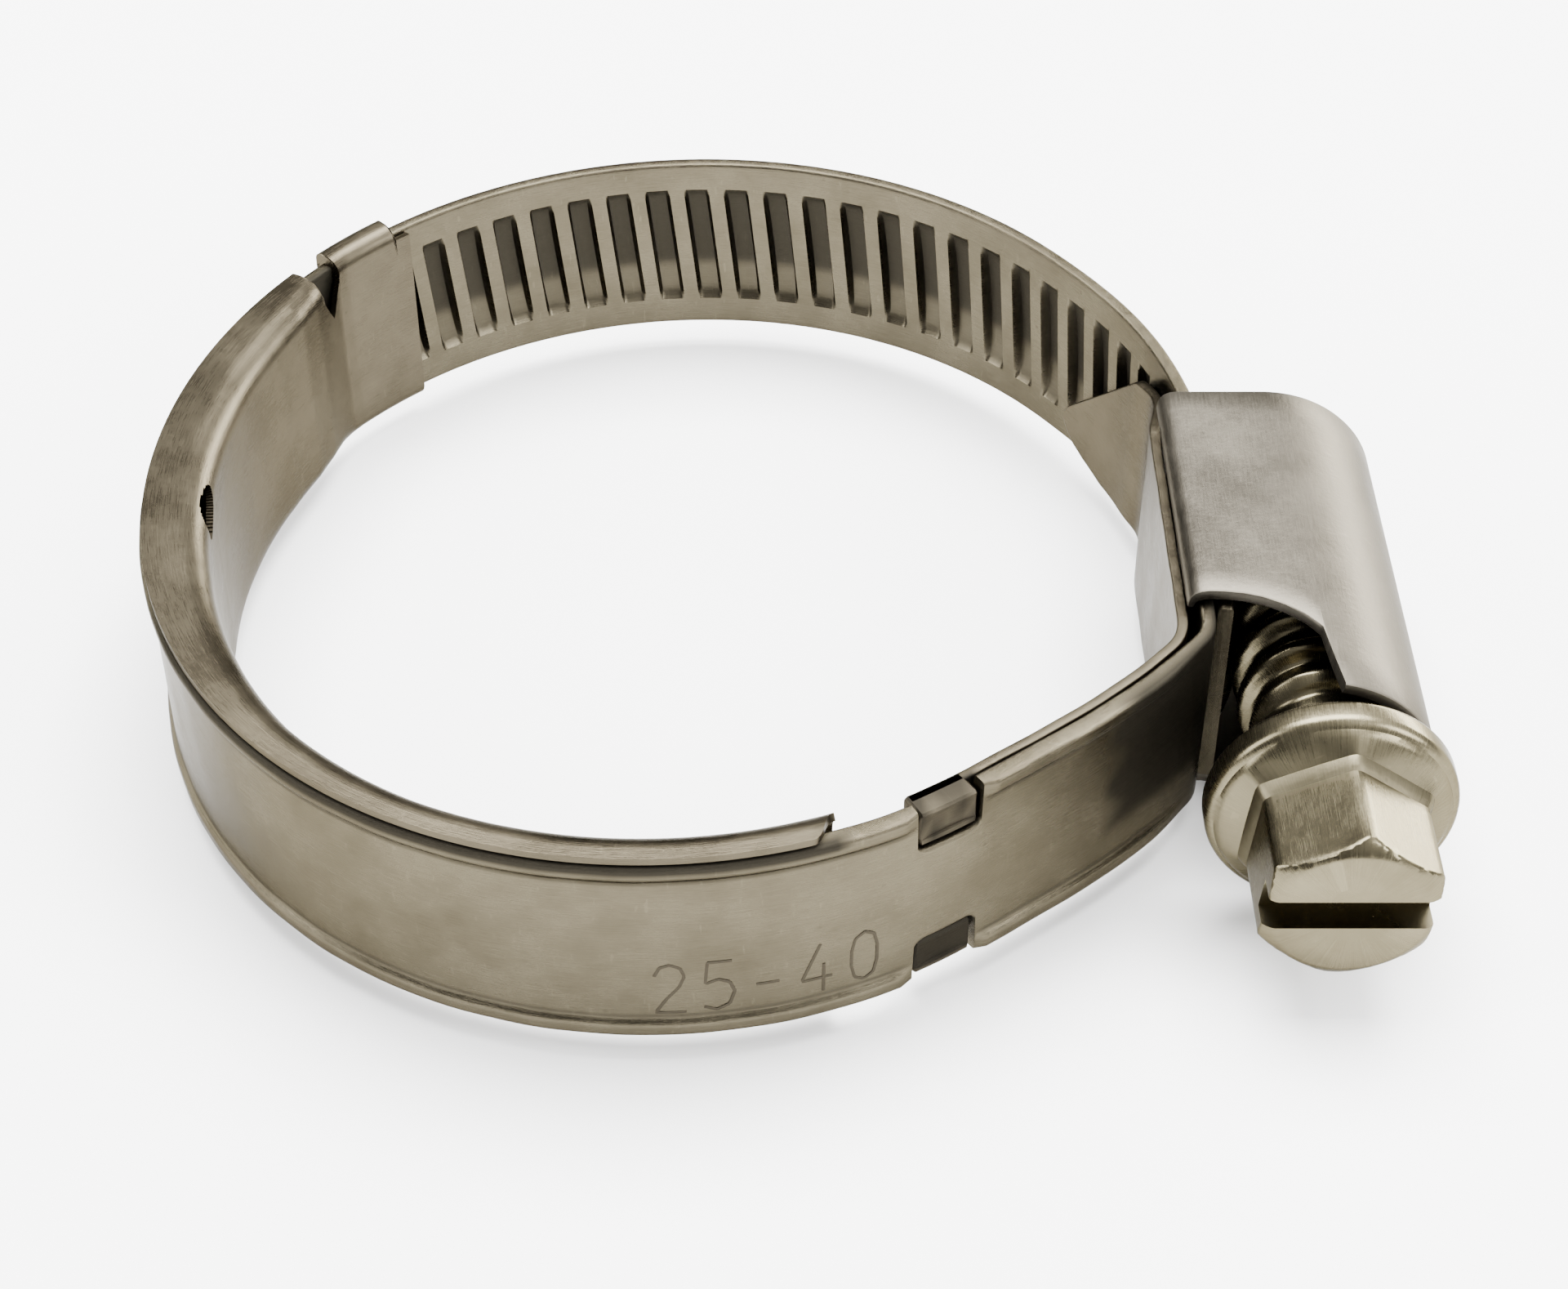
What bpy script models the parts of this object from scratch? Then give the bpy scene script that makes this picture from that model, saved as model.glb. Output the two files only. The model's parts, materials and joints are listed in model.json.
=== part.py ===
"""Worm-drive hose clamp, 9 mm band, size 25-40, standing open on its edge with a sprung inner liner.

The ring lies flat with its bore along Z. The screw runs along Y beside the ring, at +X, head towards -Y.
The band's threaded length turns about the far side of the ring, which stands for the flexing of the
whole band, so its tail slides through the housing along an arc centred on that hinge.
"""

import math

import bmesh
import bpy
import numpy as np
from mathutils import Vector

MM = 0.001

# Ring: an open clamp springs slightly oval
RING_RADIUS = 22.4 * MM
RING_OVAL = 0.9 * MM
OVAL_ANGLE = math.radians(75.7)

# Band
BAND_WIDTH = 9.0 * MM
BAND_THICK = 0.6 * MM
LIP_WIDTH = 0.8 * MM
LIP_HEIGHT = 0.2 * MM
LIP_EDGE = 0.1 * MM
LIP_FADE = 3.0 * MM
HINGE_ANGLE = math.radians(188)
HINGE_GAP = 0.3 * MM
NOTCH_ANGLE = math.radians(298)
NOTCH_LENGTH = 2.9 * MM
NOTCH_DEPTH = 2.1 * MM
NOTCH_CUTTER_REACH = 2 * MM
LUG_GAP = 0.3 * MM
LUG_OVERLAP = 0.05 * MM

# Where each length leaves the ring for the housing
THREADED_LEAVE_ANGLE = math.radians(42)
PLAIN_LEAVE_ANGLE = math.radians(302)
PLAIN_BEND = np.array([20.6, -10.95]) * MM
PLAIN_BEND_HEADING = math.radians(50)

# Embossed thread of the band
PITCH = 1.9 * MM
RIDGE_HEIGHT = 0.6 * MM
RIDGE_FOOT = 1.25 * MM
RIDGE_TOP = 0.65 * MM
RIDGE_LENGTH = 6.0 * MM
RIDGE_START_ANGLE = math.radians(129)
RIDGE_END_MARGIN = 1.2 * MM
POCKET_DEPTH = 0.4 * MM

# Layers at the housing: middle of each sheet, the threaded one on the hinge's own line
SCREW_X = 25.5 * MM
THREADED_X = 22.2 * MM
PLAIN_X = 21.0 * MM
SADDLE_X = 20.05 * MM
HOUSING_BACK = 4.0 * MM
HOUSING_FRONT = -9.0 * MM
TAIL_END = -9.3 * MM
PLAIN_FRONT = -9.6 * MM
PLAIN_END = 2.0 * MM

# Saddle
SADDLE_THICK = 0.45 * MM
SADDLE_INSET = 0.35 * MM
SADDLE_CLEARANCE = 0.25 * MM
SADDLE_BEND_LEAD = 1 * MM
SADDLE_BACK = 2.0 * MM
JOGGLE = np.array([20.5, 5.2]) * MM
TONGUE_TIP_ANGLE = math.radians(34.8)
TONGUE_CLEARANCE = 0.55 * MM
TONGUE_LENGTH = 5.7 * MM
# Slanted end of the tongue, as heights at distances from its tip
TONGUE_TOP = {0.0: 2.7, 5.7: 7.9, 10.2: 8.65}
TONGUE_BOTTOM = {0.0: 1.9, 0.5: 1.2, 1.4: 0.7, 3.3: 0.35}

# Housing shell: arch, flat sides and feet that turn in beside the saddle
SHELL_RADIUS = 5.2 * MM
SHELL_THICK = 0.5 * MM
SHELL_CENTRE_X = 24.6 * MM
SHELL_FEET = ((20.25, 0.8), (20.32, 0.35), (20.6, 0.08), (21.3, 0.0), (22.4, 0.0), (23.5, 0.0))
SHELL_FOOT_THICK = 0.3 * MM
SHELL_CROWN_FRONT = -14.3 * MM
SHELL_CUT_START = 20.5 * MM
SHELL_CUT_END = 25.4 * MM
SHELL_CUT_DEPTH = 2.4 * MM
SHELL_CUT_STEP = 0.1 * MM

# Screw
THREAD_RADIUS = 2.95 * MM
ROOT_RADIUS = 2.3 * MM
CREST_WIDTH = 0.45 * MM
FLANK_WIDTH = 0.25 * MM
THREAD_BACK = 1.6 * MM
THREAD_FRONT = -12.0 * MM
THREAD_STEP = 0.19 * MM
THREAD_RUN_OUT = 0.7 * MM
PILOT_SHOULDER = 0.9 * MM
NECK_SHOULDER = 0.2 * MM
PILOT_RADIUS = 1.8 * MM
SCREW_SIDES = 24
SCREW_EDGE = 0.3 * MM
COLLAR_RADIUS = 4.9 * MM
COLLAR_BACK = -14.8 * MM
COLLAR_FRONT = -16.2 * MM
HEX_ACROSS_FLATS = 6.4 * MM
HEX_BACK = -17.2 * MM
HEX_FRONT = -21.4 * MM
HEX_TURN = math.radians(5)
CHAMFER_RADIUS = 3.1 * MM
CHAMFER_LENGTH = 0.45 * MM
DRIVE_SLOT_WIDTH = 1.4 * MM
DRIVE_SLOT_DEPTH = 1.2 * MM

# Sprung liner: flush with the band at its start, then stepping inwards
LINER_THICK = 0.3 * MM
LINER_END_ANGLE = math.radians(287)
LINER_INSET = 1.4 * MM
LINER_CLEARANCE = 0.2 * MM
LINER_START_ANGLE = math.radians(127)
LINER_STEP_ANGLE = math.radians(140)
LINER_MOUTH_INSET = 1.15 * MM

MID_Z = BAND_WIDTH / 2
BAND_MIDDLE = -BAND_THICK / 2
ALONG_SCREW = np.array([0.0, 1.0])
RING_STEP = math.radians(4)


def outer_radius(angle):
    """Radius of the band's outer face."""
    return RING_RADIUS + RING_OVAL * math.cos(2 * (angle - OVAL_ANGLE))


def ring_point(angle, offset=0.0):
    """Point on the ring, offset outwards from the band's outer face."""
    radius = outer_radius(angle) + offset
    return np.array([radius * math.cos(angle), radius * math.sin(angle)])


HINGE = ring_point(HINGE_ANGLE, BAND_MIDDLE)
FAR_LEFT = min(ring_point(a)[0] for a in np.radians(np.arange(150, 211)))
# The assembly stands on the shell's side, with the middle of its length over the origin
RING_CENTRE = Vector(
    (
        -(FAR_LEFT - LIP_HEIGHT + SCREW_X + COLLAR_RADIUS) / 2,
        -(RIDGE_HEIGHT - LIP_HEIGHT) / 2,
        SHELL_RADIUS - MID_Z,
    )
)


def slide_arc(x_at_hinge_line, y):
    """Point of an arc centred on the hinge, along which a sheet slides through the housing."""
    radius = x_at_hinge_line - HINGE[0]
    return np.array([HINGE[0] + math.sqrt(radius**2 - (y - HINGE[1]) ** 2), y])


def slide_heading(x_at_hinge_line, y):
    """Unit direction of that arc towards -Y."""
    spoke = slide_arc(x_at_hinge_line, y) - HINGE
    return np.array([spoke[1], -spoke[0]]) / np.linalg.norm(spoke)


def ring_heading(angle):
    """Unit direction along the ring, towards smaller angles."""
    step = 0.001
    along = ring_point(angle - step) - ring_point(angle + step)
    return along / np.linalg.norm(along)


def bridge_curve(start, start_heading, end, end_heading, steps=14):
    """Smooth curve from one point and heading to another, without its two end points."""
    reach = 0.38 * np.linalg.norm(end - start)
    handle_a = start + reach * start_heading
    handle_b = end - reach * end_heading
    points = []
    for t in np.linspace(0, 1, steps + 1)[1:-1]:
        s = 1 - t
        points.append(s**3 * start + 3 * s * s * t * handle_a + 3 * s * t * t * handle_b + t**3 * end)
    return points


class Path:
    """A plan curve that is sampled by its length. Its left side, walking along it, faces outwards."""

    def __init__(self, points, outward_sign):
        self.points = np.array(points)
        steps = np.linalg.norm(np.diff(self.points, axis=0), axis=1)
        self.lengths = np.concatenate([[0.0], np.cumsum(steps)])
        self.length = self.lengths[-1]
        self.sign = outward_sign

    def at(self, s):
        s = min(max(s, 0.0), self.length)
        return np.array([np.interp(s, self.lengths, self.points[:, i]) for i in (0, 1)])

    def outward(self, s):
        reach = 0.4 * MM
        along = self.at(s + reach) - self.at(s - reach)
        along /= np.linalg.norm(along)
        return self.sign * np.array([-along[1], along[0]])

    def place(self, s, offset, z):
        x, y = self.at(s) + offset * self.outward(s)
        return Vector((x, y, z))

    def nearest(self, target):
        """Length at the path's point nearest to the target."""
        fine = np.linspace(0, self.length, 4000)
        gaps = [np.linalg.norm(self.at(s) - target) for s in fine]
        return fine[int(np.argmin(gaps))]


def angles_between(start, end):
    count = max(2, round(abs(end - start) / (RING_STEP / 4)))
    return np.linspace(start, end, count + 1)


def threaded_path():
    """Middle of the threaded length: hinge, round the back, through the housing to the tail."""
    ring = [
        ring_point(a, BAND_MIDDLE) for a in angles_between(HINGE_ANGLE, THREADED_LEAVE_ANGLE)
    ]
    entry = slide_arc(THREADED_X, HOUSING_BACK)
    run_in = bridge_curve(
        ring[-1], ring_heading(THREADED_LEAVE_ANGLE), entry, slide_heading(THREADED_X, HOUSING_BACK)
    )
    slide = [slide_arc(THREADED_X, y) for y in np.linspace(HOUSING_BACK, TAIL_END, 15)]
    return Path(ring + run_in + slide, 1)


def plain_path():
    """Middle of the plain length: hinge, round the front, slanting into the housing."""
    ring = [ring_point(a, BAND_MIDDLE) for a in angles_between(HINGE_ANGLE, PLAIN_LEAVE_ANGLE)]
    slant = np.array([math.cos(PLAIN_BEND_HEADING), math.sin(PLAIN_BEND_HEADING)])
    run_in = bridge_curve(ring[-1], -ring_heading(PLAIN_LEAVE_ANGLE), PLAIN_BEND, slant)
    entry = np.array([PLAIN_X, PLAIN_FRONT])
    bend = bridge_curve(PLAIN_BEND, slant, entry, ALONG_SCREW, 8)
    inside = np.array([PLAIN_X, PLAIN_END])
    return Path(ring + run_in + [PLAIN_BEND] + bend + [entry, inside], -1)


def saddle_path(plain, threaded):
    """Middle of the saddle: from the band's notches, through the housing, along the tongue at the back."""
    inset = BAND_THICK / 2 + SADDLE_CLEARANCE + SADDLE_THICK / 2
    start = plain.nearest(ring_point(NOTCH_ANGLE, BAND_MIDDLE)) - NOTCH_LENGTH / 2 + LUG_GAP
    end = plain.nearest(PLAIN_BEND)
    front = [plain.at(s) - inset * plain.outward(s) for s in np.linspace(start, end - SADDLE_BEND_LEAD, 20)]
    slant = front[-1] - front[-2]
    under_front = np.array([SADDLE_X, HOUSING_FRONT])
    under_back = np.array([SADDLE_X, SADDLE_BACK])
    bend = bridge_curve(front[-1], slant / np.linalg.norm(slant), under_front, ALONG_SCREW, 6)
    tip = threaded.nearest(ring_point(TONGUE_TIP_ANGLE, BAND_MIDDLE))
    spread = BAND_THICK / 2 + TONGUE_CLEARANCE + SADDLE_THICK / 2
    tongue_run = np.linspace(tip + TONGUE_LENGTH, tip, 12)
    tongue = [threaded.at(s) - spread * threaded.outward(s) for s in tongue_run]
    heading = tongue[1] - tongue[0]
    rise = bridge_curve(under_back, ALONG_SCREW, JOGGLE, ALONG_SCREW, 6)
    fall = bridge_curve(JOGGLE, ALONG_SCREW, tongue[0], heading / np.linalg.norm(heading), 5)
    return Path(front + bend + [under_front, under_back] + rise + [JOGGLE] + fall + tongue, -1)


def material(name, colour, roughness, metallic=1.0):
    made = bpy.data.materials.new(name)
    made.use_nodes = True
    shader = made.node_tree.nodes["Principled BSDF"]
    shader.inputs["Base Color"].default_value = (*colour, 1)
    shader.inputs["Roughness"].default_value = roughness
    shader.inputs["Metallic"].default_value = metallic
    return made


def finish(name, mesh_data, made_of, origin=(0, 0, 0)):
    """Closes and shades a mesh, and sets it down with its origin at the given point of the ring's frame."""
    origin = Vector(origin)
    bmesh.ops.remove_doubles(mesh_data, verts=mesh_data.verts, dist=0.001 * MM)
    bmesh.ops.recalc_face_normals(mesh_data, faces=mesh_data.faces)
    bmesh.ops.translate(mesh_data, verts=mesh_data.verts, vec=-origin)
    mesh = bpy.data.meshes.new(name)
    mesh_data.to_mesh(mesh)
    mesh_data.free()
    mesh.shade_smooth()
    mesh.set_sharp_from_angle(angle=math.radians(30))
    mesh.materials.append(made_of)
    obj = bpy.data.objects.new(name, mesh)
    obj.location = origin + RING_CENTRE
    bpy.context.scene.collection.objects.link(obj)
    return obj


def skin(rows):
    """Closed surface through rings of points that all have the same count."""
    mesh_data = bmesh.new()
    rings = [[mesh_data.verts.new(point) for point in row] for row in rows]
    count = len(rings[0])
    for here, there in zip(rings, rings[1:]):
        for j in range(count):
            k = (j + 1) % count
            mesh_data.faces.new((here[j], here[k], there[k], there[j]))
    mesh_data.faces.new(rings[0])
    mesh_data.faces.new(rings[-1])
    return mesh_data


def band_section():
    """Plain band section with a raised lip along each edge of its outer face."""
    half = BAND_THICK / 2
    return [
        (-half, 0),
        (half + LIP_HEIGHT - LIP_EDGE, 0),
        (half + LIP_HEIGHT, LIP_WIDTH / 2),
        (half, LIP_WIDTH),
        (half, BAND_WIDTH - LIP_WIDTH),
        (half + LIP_HEIGHT, BAND_WIDTH - LIP_WIDTH / 2),
        (half + LIP_HEIGHT - LIP_EDGE, BAND_WIDTH),
        (-half, BAND_WIDTH),
    ]


def cutter_box(name, centre, half_size, turn=0.0):
    """Hidden box that a Boolean cuts with."""
    mesh_data = bmesh.new()
    bmesh.ops.create_cube(mesh_data, size=2)
    bmesh.ops.scale(mesh_data, vec=half_size, verts=mesh_data.verts)
    mesh = bpy.data.meshes.new(name)
    mesh_data.to_mesh(mesh)
    mesh_data.free()
    obj = bpy.data.objects.new(name, mesh)
    obj.location = Vector(centre) + RING_CENTRE
    obj.rotation_euler.z = turn
    obj.hide_render = True
    obj.display_type = "WIRE"
    bpy.context.scene.collection.objects.link(obj)
    return obj


def cut(obj, cutter):
    boolean = obj.modifiers.new("cut_" + cutter.name, "BOOLEAN")
    boolean.operation = "DIFFERENCE"
    boolean.object = cutter


def make_plain_length(path, steel):
    """From the hinge gap round the front to the end held in the housing, notched for the saddle's lugs."""
    half = BAND_THICK / 2
    bend = path.nearest(PLAIN_BEND)
    stations = np.concatenate(
        [np.linspace(HINGE_GAP / 2, bend, 56), np.linspace(bend, path.length, 14)[1:]]
    )
    rows = []
    for s in stations:
        lip_share = min(max((bend - s) / LIP_FADE, 0.0), 1.0)
        row = []
        for offset, z in band_section():
            lip = max(offset - half, 0.0)
            row.append(path.place(s, min(offset, half) + lip * lip_share, z))
        rows.append(row)
    obj = finish("band_plain_length", skin(rows), steel)
    s_notch = path.nearest(ring_point(NOTCH_ANGLE, BAND_MIDDLE))
    outward = path.outward(s_notch)
    for name, z in (("lower_notch", 0), ("upper_notch", BAND_WIDTH)):
        cutter = cutter_box(
            name,
            (*path.at(s_notch), z),
            (NOTCH_CUTTER_REACH, NOTCH_LENGTH / 2, NOTCH_DEPTH),
            math.atan2(outward[1], outward[0]),
        )
        cut(obj, cutter)


def ridge_centres(path):
    """Lengths along the threaded path of the middle of each ridge, set half a pitch off the worm's crests."""
    in_mesh = path.nearest(slide_arc(THREADED_X, THREAD_BACK - PITCH / 2))
    first = path.nearest(ring_point(RIDGE_START_ANGLE, BAND_MIDDLE))
    last = path.length - RIDGE_END_MARGIN
    back = math.floor((in_mesh - first) / PITCH)
    onward = math.floor((last - in_mesh) / PITCH)
    return [in_mesh + k * PITCH for k in range(-back, onward + 1)]


def threaded_row(path, s, lift, lean):
    """Ring of points across the threaded length, with its middle raised by lift and leaning as the thread."""
    half = BAND_THICK / 2
    reach = RIDGE_LENGTH / 2
    levels = [(0, 0.0, 0.0)]
    for share in (-1.0, -0.75, -0.35, 0.35, 0.75, 1.0):
        levels.append((MID_Z + share * reach, 1 - share**2, 1.0))
    levels.append((BAND_WIDTH, 0.0, 0.0))
    outer = [
        path.place(s - lean * follow * (z - MID_Z), half + lift * rise * RIDGE_HEIGHT, z)
        for z, rise, follow in levels
    ]
    inner = [
        path.place(s - lean * follow * (z - MID_Z), -half + lift * rise * POCKET_DEPTH, z)
        for z, rise, follow in reversed(levels)
    ]
    return outer + inner


def make_threaded_length(path, steel):
    """From the hinge gap round the back, embossed with ridges, through the housing to the cut tail."""
    lean = PITCH / (2 * math.pi * THREAD_RADIUS)
    centres = ridge_centres(path)
    rows = [
        threaded_row(path, s, 0, 0)
        for s in np.linspace(HINGE_GAP / 2, centres[0] - RIDGE_FOOT, 16)
    ]
    for s in centres:
        for shift, lift in ((-RIDGE_FOOT, 0), (-RIDGE_TOP, 1), (RIDGE_TOP, 1), (RIDGE_FOOT, 0)):
            rows.append(threaded_row(path, s + shift / 2, lift, lean))
    rows.append(threaded_row(path, path.length, 0, 0))
    return finish("band_threaded_length", skin(rows), steel, (*HINGE, MID_Z))


def make_saddle(path, plain, steel):
    """Strip under both band ends, with two lugs turned out through the band's notches."""
    half = SADDLE_THICK / 2
    rows = []
    for s in np.linspace(0, path.length, 60):
        to_tip = (path.length - s) / MM
        low = MM * np.interp(to_tip, list(TONGUE_BOTTOM), list(TONGUE_BOTTOM.values()))
        high = MM * np.interp(to_tip, list(TONGUE_TOP), list(TONGUE_TOP.values()))
        section = ((-half, low), (half, low), (half, high), (-half, high))
        rows.append([path.place(s, offset, z) for offset, z in section])
    body = finish("saddle_bridge", skin(rows), steel)
    s_lug = plain.nearest(ring_point(NOTCH_ANGLE, BAND_MIDDLE))
    lug_half = NOTCH_LENGTH / 2 - LUG_GAP
    inner = -BAND_THICK / 2 - SADDLE_CLEARANCE - SADDLE_THICK + LUG_OVERLAP
    outer = BAND_THICK / 2 + LIP_HEIGHT
    edge = SADDLE_INSET + LUG_OVERLAP
    for name, z_low, z_high in (
        ("lower_lug", edge, NOTCH_DEPTH - LUG_GAP),
        ("upper_lug", BAND_WIDTH - NOTCH_DEPTH + LUG_GAP, BAND_WIDTH - edge),
    ):
        section = ((inner, z_low), (outer, z_low), (outer, z_high), (inner, z_high))
        rows = []
        for s in (s_lug - lug_half, s_lug + lug_half):
            rows.append([plain.place(s, offset, z) for offset, z in section])
        lug = finish(name, skin(rows), steel)
        lug.hide_render = True
        lug.display_type = "WIRE"
        union = body.modifiers.new("join_" + name, "BOOLEAN")
        union.operation = "UNION"
        union.object = lug


def shell_front(x):
    """Where the shell ends towards the head: cut back over the screw, full length along the crown."""
    if x > SHELL_CUT_END + SHELL_CUT_STEP:
        return SHELL_CROWN_FRONT
    share = min(max((x - SHELL_CUT_START) / (SHELL_CUT_END - SHELL_CUT_START), 0.0), 1.0)
    return HOUSING_FRONT - SHELL_CUT_DEPTH * share**3


def shell_outline(inward):
    """Half of the arch in the X-Z plane, from the lower foot round the crown to the upper foot."""
    bottom = MID_Z - SHELL_RADIUS
    lower = []
    for i, (x, rise) in enumerate(SHELL_FEET):
        before = SHELL_FEET[max(i - 1, 0)]
        after = SHELL_FEET[min(i + 1, len(SHELL_FEET) - 1)]
        along = Vector((after[0] - before[0], after[1] - before[1])).normalized()
        depth = inward * (SHELL_FOOT_THICK / SHELL_THICK if i < 2 else 1.0)
        lower.append((x * MM - along.y * depth, bottom + rise * MM + along.x * depth))
    radius = SHELL_RADIUS - inward
    for turn in np.radians((-90, -80, -65, -50, -35, -18, 0)):
        lower.append((SHELL_CENTRE_X + radius * math.cos(turn), MID_Z + radius * math.sin(turn)))
    upper = [(x, BAND_WIDTH - z) for x, z in reversed(lower[:-1])]
    return lower + upper


def make_shell(steel):
    """Arched cover over the worm, open at both ends and towards the ring."""
    rows = []
    for (x_out, z_out), (x_in, z_in) in zip(shell_outline(0.0), shell_outline(SHELL_THICK)):
        front = shell_front(x_out)
        rows.append(
            [
                Vector((x_out, front, z_out)),
                Vector((x_out, HOUSING_BACK, z_out)),
                Vector((x_in, HOUSING_BACK, z_in)),
                Vector((x_in, front, z_in)),
            ]
        )
    finish("housing_shell", skin(rows), steel)


def screw_ring(radius_at, y):
    """Ring of points round the screw's axis, whose radius depends on the direction."""
    ring = []
    for i in range(SCREW_SIDES):
        turn = math.pi / 2 - HEX_TURN + 2 * math.pi * i / SCREW_SIDES
        radius = radius_at(turn)
        ring.append(Vector((SCREW_X + radius * math.cos(turn), y, MID_Z + radius * math.sin(turn))))
    return ring


def round_ring(radius, y):
    return screw_ring(lambda turn: radius, y)


def thread_ring(y):
    """Cut through the right-hand worm at one height, with a crest facing the band at THREAD_BACK."""

    def radius_at(turn):
        crest = THREAD_BACK + PITCH * (math.pi - turn) / (2 * math.pi)
        away = abs((y - crest + PITCH / 2) % PITCH - PITCH / 2)
        height = (CREST_WIDTH / 2 + FLANK_WIDTH - away) / FLANK_WIDTH
        return ROOT_RADIUS + (THREAD_RADIUS - ROOT_RADIUS) * min(max(height, 0.0), 1.0)

    return screw_ring(radius_at, y)


def hex_ring(y, largest=HEX_ACROSS_FLATS):
    """Hexagon across the flats, with its corners trimmed to the largest radius."""

    def radius_at(turn):
        to_flat = (turn - math.pi / 2 + HEX_TURN) % (math.pi / 3) - math.pi / 6
        return min(HEX_ACROSS_FLATS / 2 / math.cos(to_flat), largest)

    return screw_ring(radius_at, y)


def make_screw(zinc):
    """One piece: pilot tip, worm, neck, collar and slotted hexagon."""
    rows = [
        round_ring(PILOT_RADIUS - SCREW_EDGE, HOUSING_BACK + SCREW_EDGE),
        round_ring(PILOT_RADIUS, HOUSING_BACK),
        round_ring(PILOT_RADIUS, THREAD_BACK + PILOT_SHOULDER),
    ]
    rows += [thread_ring(y) for y in np.arange(THREAD_BACK + THREAD_RUN_OUT, THREAD_FRONT, -THREAD_STEP)]
    rows += [
        round_ring(ROOT_RADIUS, THREAD_FRONT - NECK_SHOULDER),
        round_ring(ROOT_RADIUS, COLLAR_BACK),
        round_ring(COLLAR_RADIUS - SCREW_EDGE, COLLAR_BACK),
        round_ring(COLLAR_RADIUS, COLLAR_BACK - SCREW_EDGE),
        round_ring(COLLAR_RADIUS, COLLAR_FRONT + SCREW_EDGE),
        round_ring(COLLAR_RADIUS - SCREW_EDGE, COLLAR_FRONT),
        hex_ring(HEX_BACK),
        hex_ring(HEX_FRONT + CHAMFER_LENGTH),
        hex_ring(HEX_FRONT, CHAMFER_RADIUS),
    ]
    obj = finish("worm_screw", skin(rows), zinc, (SCREW_X, (COLLAR_BACK + COLLAR_FRONT) / 2, MID_Z))
    cutter = cutter_box(
        "drive_slot",
        (SCREW_X, HEX_FRONT, MID_Z),
        (HEX_ACROSS_FLATS, DRIVE_SLOT_DEPTH, DRIVE_SLOT_WIDTH / 2),
    )
    cut(obj, cutter)


def make_liner(steel):
    """Channel inside the band's mouth, its two flanges lying over the band's edges."""
    low = -LINER_CLEARANCE
    high = BAND_WIDTH + LINER_CLEARANCE
    steps = round((LINER_END_ANGLE - LINER_START_ANGLE) / RING_STEP)
    rows = []
    for angle in np.linspace(LINER_START_ANGLE, LINER_END_ANGLE, steps + 1):
        step_share = min((angle - LINER_START_ANGLE) / (LINER_STEP_ANGLE - LINER_START_ANGLE), 1.0)
        wall = -(LINER_MOUTH_INSET + (LINER_INSET - LINER_MOUTH_INSET) * step_share)
        section = (
            (wall, low - LINER_THICK),
            (0, low - LINER_THICK),
            (0, low),
            (wall + LINER_THICK, low),
            (wall + LINER_THICK, high),
            (0, high),
            (0, high + LINER_THICK),
            (wall, high + LINER_THICK),
        )
        rows.append([Vector((*ring_point(angle, offset), z)) for offset, z in section])
    finish("spring_liner", skin(rows), steel)


def main():
    for old in list(bpy.data.objects):
        bpy.data.objects.remove(old, do_unlink=True)
    strip_steel = material("strip_steel", (0.42, 0.38, 0.32), 0.34)
    shell_steel = material("shell_steel", (0.56, 0.55, 0.54), 0.4)
    spring_steel = material("spring_steel", (0.5, 0.47, 0.41), 0.28)
    zinc_plate = material("zinc_plate", (0.56, 0.54, 0.45), 0.32)
    plain = plain_path()
    threaded = threaded_path()
    make_plain_length(plain, strip_steel)
    make_threaded_length(threaded, strip_steel)
    make_saddle(saddle_path(plain, threaded), plain, shell_steel)
    make_shell(shell_steel)
    make_screw(zinc_plate)
    make_liner(spring_steel)


main()
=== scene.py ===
import json
import math

import bmesh
import bpy
import numpy as np
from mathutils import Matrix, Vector


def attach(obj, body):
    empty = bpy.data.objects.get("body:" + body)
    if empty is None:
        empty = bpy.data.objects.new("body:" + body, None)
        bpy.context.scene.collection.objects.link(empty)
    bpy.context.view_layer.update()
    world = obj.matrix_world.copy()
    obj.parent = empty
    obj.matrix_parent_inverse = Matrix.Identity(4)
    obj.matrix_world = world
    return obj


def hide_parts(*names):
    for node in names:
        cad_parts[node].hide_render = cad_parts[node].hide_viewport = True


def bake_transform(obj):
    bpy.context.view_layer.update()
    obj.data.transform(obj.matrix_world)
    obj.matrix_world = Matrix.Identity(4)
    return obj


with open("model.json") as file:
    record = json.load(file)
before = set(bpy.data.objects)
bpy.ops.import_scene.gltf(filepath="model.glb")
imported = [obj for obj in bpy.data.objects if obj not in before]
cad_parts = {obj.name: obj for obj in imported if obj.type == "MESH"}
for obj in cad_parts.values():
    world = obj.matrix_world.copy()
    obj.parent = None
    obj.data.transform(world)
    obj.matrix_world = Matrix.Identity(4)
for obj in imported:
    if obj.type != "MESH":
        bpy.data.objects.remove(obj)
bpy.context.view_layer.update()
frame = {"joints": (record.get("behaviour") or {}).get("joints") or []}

MM = 0.001
DEG = math.pi / 180

# Driving dimensions in millimetres, with the ring's centre at 0, 0 and the band's lower edge at z = 0.
# X points to the housing and Y away from the screw's head. Gaps are a little closer than in the CAD.
RING_RADIUS = 22.4
RING_OVAL = 0.9
OVAL_ANGLE = 75.7 * DEG
BAND_WIDTH = 9.0
BAND_THICK = 0.6
LIP_WIDTH = 0.8
LIP_HEIGHT = 0.2
HINGE_ANGLE = 188 * DEG
SPLIT_ANGLE = 165 * DEG
NOTCH_ANGLE = 298 * DEG
NOTCH_LENGTH = 2.9
NOTCH_DEPTH = 2.1
NOTCH_CORNER = 0.55
STRIP_EDGE = 0.13
BAND_WAVE = 0.012
THREADED_LEAVE_ANGLE = 42 * DEG
PLAIN_LEAVE_ANGLE = 302 * DEG
PLAIN_BEND = np.array([20.6, -10.95])
PLAIN_BEND_HEADING = 50 * DEG
PITCH = 1.9
RIDGE_HEIGHT = 0.55
RIDGE_LENGTH = 6.0
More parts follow.
